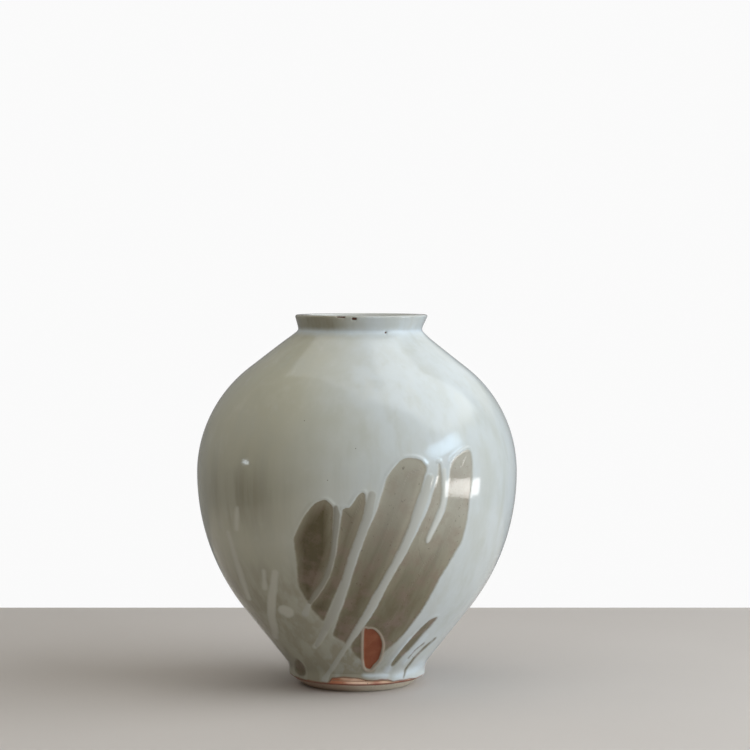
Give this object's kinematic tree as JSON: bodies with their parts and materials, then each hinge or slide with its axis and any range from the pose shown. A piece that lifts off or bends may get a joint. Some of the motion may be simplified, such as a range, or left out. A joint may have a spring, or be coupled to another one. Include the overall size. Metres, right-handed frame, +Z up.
{
  "type": "moon jar",
  "caption": "Tall round-shouldered stoneware jar with flared collar, turned foot and finger-wiped pale slip under clear glaze; holds water, branches or dry goods.",
  "frame": {"origin": "centre of the foot ring on the surface that the jar stands on", "axes": "+Z up along the jar's axis; -Y is the front with the finger wipes"},
  "size_m": [0.2074, 0.2074, 0.24],
  "materials": {
    "stoneware_clay": "bare fired iron-bearing stoneware, turned at the foot",
    "luting_slip": "fired joining slip, hidden in the joints",
    "pale_slip": "pale grey slip, poured and wiped with the fingers",
    "outer_glaze": "clear glossy glaze with a faint blue-green tint",
    "inner_glaze": "glossy liner glaze over throwing rings"
  },
  "bodies": {
    "root": {"foot_ring": "stoneware_clay", "lower_bowl": "stoneware_clay", "upper_bowl": "stoneware_clay", "neck_collar": "stoneware_clay", "foot_luting_slip": "luting_slip", "belly_luting_slip": "luting_slip", "neck_luting_slip": "luting_slip", "slip_coat": "pale_slip", "outer_glaze": "outer_glaze", "inner_glaze": "inner_glaze"}
  },
  "joints": []
}
